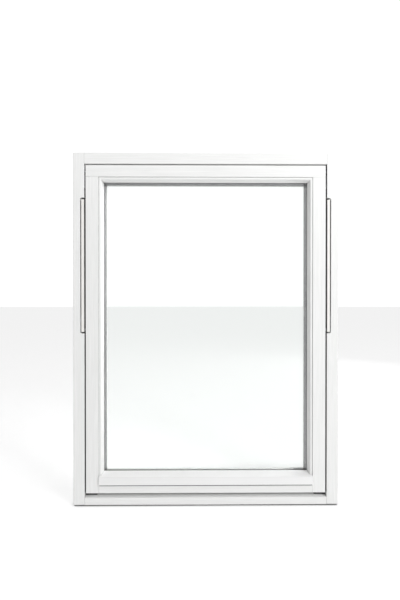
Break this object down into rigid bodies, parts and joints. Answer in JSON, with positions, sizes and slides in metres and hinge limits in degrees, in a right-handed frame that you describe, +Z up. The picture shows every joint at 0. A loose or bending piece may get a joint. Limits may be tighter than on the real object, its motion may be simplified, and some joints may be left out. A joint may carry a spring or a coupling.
{
  "type": "casement window",
  "caption": "White painted timber window whose glazed sash opens outwards at the bottom, its top guided in tracks by side stays; drip bead and inside lever handle.",
  "frame": {"origin": "middle of the sill's underside, half way through the frame's depth", "axes": "+Z up the window, +X across it, +Y from the outside to the room"},
  "size_m": [0.888, 0.123, 1.18],
  "materials": {
    "painted_timber": "satin paint over pine",
    "coated_aluminium": "satin powder coat",
    "stay_steel": "pale lacquer on zinc plate",
    "zinc_steel": "bright zinc plate",
    "seal_rubber": "matte",
    "shoe_plastic": "moulded nylon",
    "block_plastic": "moulded",
    "pane_glass": "clear",
    "spacer_alloy": "satin",
    "cast_alloy": "satin",
    "gear_brass": "machined"
  },
  "bodies": {
    "frame": {"frame_jamb_left": "painted_timber", "frame_jamb_right": "painted_timber", "frame_head": "painted_timber", "frame_sill": "painted_timber", "seal_left": "seal_rubber", "seal_right": "seal_rubber", "seal_top": "seal_rubber", "seal_bottom": "seal_rubber", "track_left": "zinc_steel", "track_right": "zinc_steel", "stay_base_left": "zinc_steel", "stay_base_right": "zinc_steel", "keeper_left": "zinc_steel", "keeper_right": "zinc_steel", "corner_screws": "zinc_steel", "frame_fitting_screws": "zinc_steel"},
    "arms": {"stay_arm_left": "stay_steel", "stay_arm_right": "stay_steel", "arm_washers": "shoe_plastic"},
    "sash": {"sash_stile_left": "painted_timber", "sash_stile_right": "painted_timber", "sash_top_rail": "painted_timber", "sash_bottom_rail": "painted_timber", "bead_left": "painted_timber", "bead_right": "painted_timber", "bead_top": "painted_timber", "bead_pins": "zinc_steel", "drip_bead": "coated_aluminium", "drip_bead_caps": "coated_aluminium", "outer_pane": "pane_glass", "middle_pane": "pane_glass", "inner_pane": "pane_glass", "spacer_outer": "spacer_alloy", "spacer_inner": "spacer_alloy", "edge_seal": "seal_rubber", "glazing_gasket_outer": "seal_rubber", "glazing_gasket_inner": "seal_rubber", "setting_blocks": "block_plastic", "sash_bracket_left": "zinc_steel", "sash_bracket_right": "zinc_steel", "sash_corner_screws": "zinc_steel", "bracket_screws": "zinc_steel", "lock_case": "zinc_steel", "lock_faceplate": "zinc_steel", "handle_base": "cast_alloy", "handle_screws": "zinc_steel"},
    "shoes": {"slide_shoe_left": "shoe_plastic", "slide_shoe_right": "shoe_plastic"},
    "handle": {"handle_lever": "cast_alloy", "handle_spindle": "zinc_steel", "drive_gear": "gear_brass"},
    "rod_left": {"lock_rod_left": "zinc_steel", "lock_cam_left": "zinc_steel"},
    "rod_right": {"lock_rod_right": "zinc_steel", "lock_cam_right": "zinc_steel"}
  },
  "joints": [
    {"name": "arm_swing", "type": "hinge", "parent": "frame", "child": "arms", "pos_m": [0, -0.0435, 0.588], "axis": [1, 0, 0], "range_deg": [0, 10]},
    {"name": "sash_tilt", "type": "hinge", "parent": "arms", "child": "sash", "pos_m": [0, -0.0435, 1.018], "axis": [-1, 0, 0], "range_deg": [0, 55]},
    {"name": "shoe_turn", "type": "hinge", "parent": "sash", "child": "shoes", "pos_m": [0, -0.0435, 1.1205], "axis": [1, 0, 0], "range_deg": [0, 45]},
    {"name": "handle_turn", "type": "hinge", "parent": "sash", "child": "handle", "pos_m": [0, 0.0195, 0.06], "axis": [0, 1, 0], "range_deg": [0, 180]},
    {"name": "rod_left_slide", "type": "slide", "parent": "sash", "child": "rod_left", "axis": [-1, 0, 0], "range_m": [0, 0.0189]},
    {"name": "rod_right_slide", "type": "slide", "parent": "sash", "child": "rod_right", "axis": [1, 0, 0], "range_m": [0, 0.0189]}
  ],
  "couplings": [
    {"joint": "arm_swing", "follows": "sash_tilt", "ratio": 0.18182},
    {"joint": "shoe_turn", "follows": "sash_tilt", "ratio": 0.81818},
    {"joint": "rod_left_slide", "follows": "handle_turn", "m_per_rad": 0.006},
    {"joint": "rod_right_slide", "follows": "handle_turn", "m_per_rad": 0.006}
  ]
}
